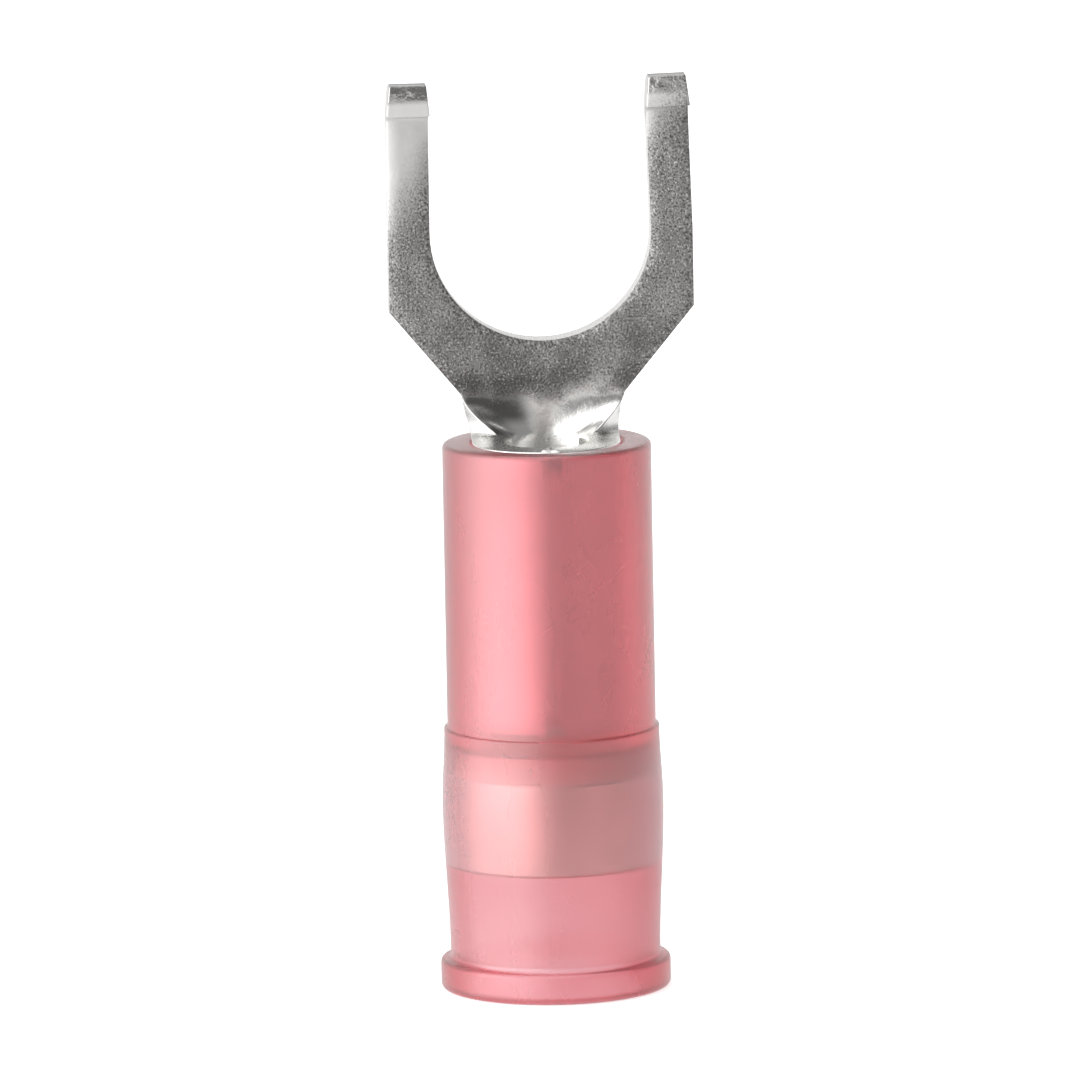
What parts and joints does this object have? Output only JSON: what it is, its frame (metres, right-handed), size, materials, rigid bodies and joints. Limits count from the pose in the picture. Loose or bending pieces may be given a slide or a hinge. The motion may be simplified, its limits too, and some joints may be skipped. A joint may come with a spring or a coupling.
{
  "type": "insulated fork terminal",
  "caption": "Nylon insulated crimp fork terminal with turned-up tine tips, a rolled wire barrel and an inner sleeve that supports the wire's insulation.",
  "frame": {"origin": "centre of the wire end's face, on the axis of the barrel", "axes": "+Z along the barrel towards the fork tips, -Y towards the side of the barrel's seam and the turned-up tips"},
  "size_m": [0.0072, 0.0054, 0.0216],
  "materials": {
    "tinned_copper": "bright tin plate on stamped copper sheet, finely pitted and scratched",
    "sleeve_metal": "drawn tin plated tube, satin",
    "nylon": "translucent pink moulded nylon, smooth"
  },
  "bodies": {
    "root": {"fork_terminal": "tinned_copper", "support_sleeve": "sleeve_metal", "insulator": "nylon"}
  },
  "joints": []
}
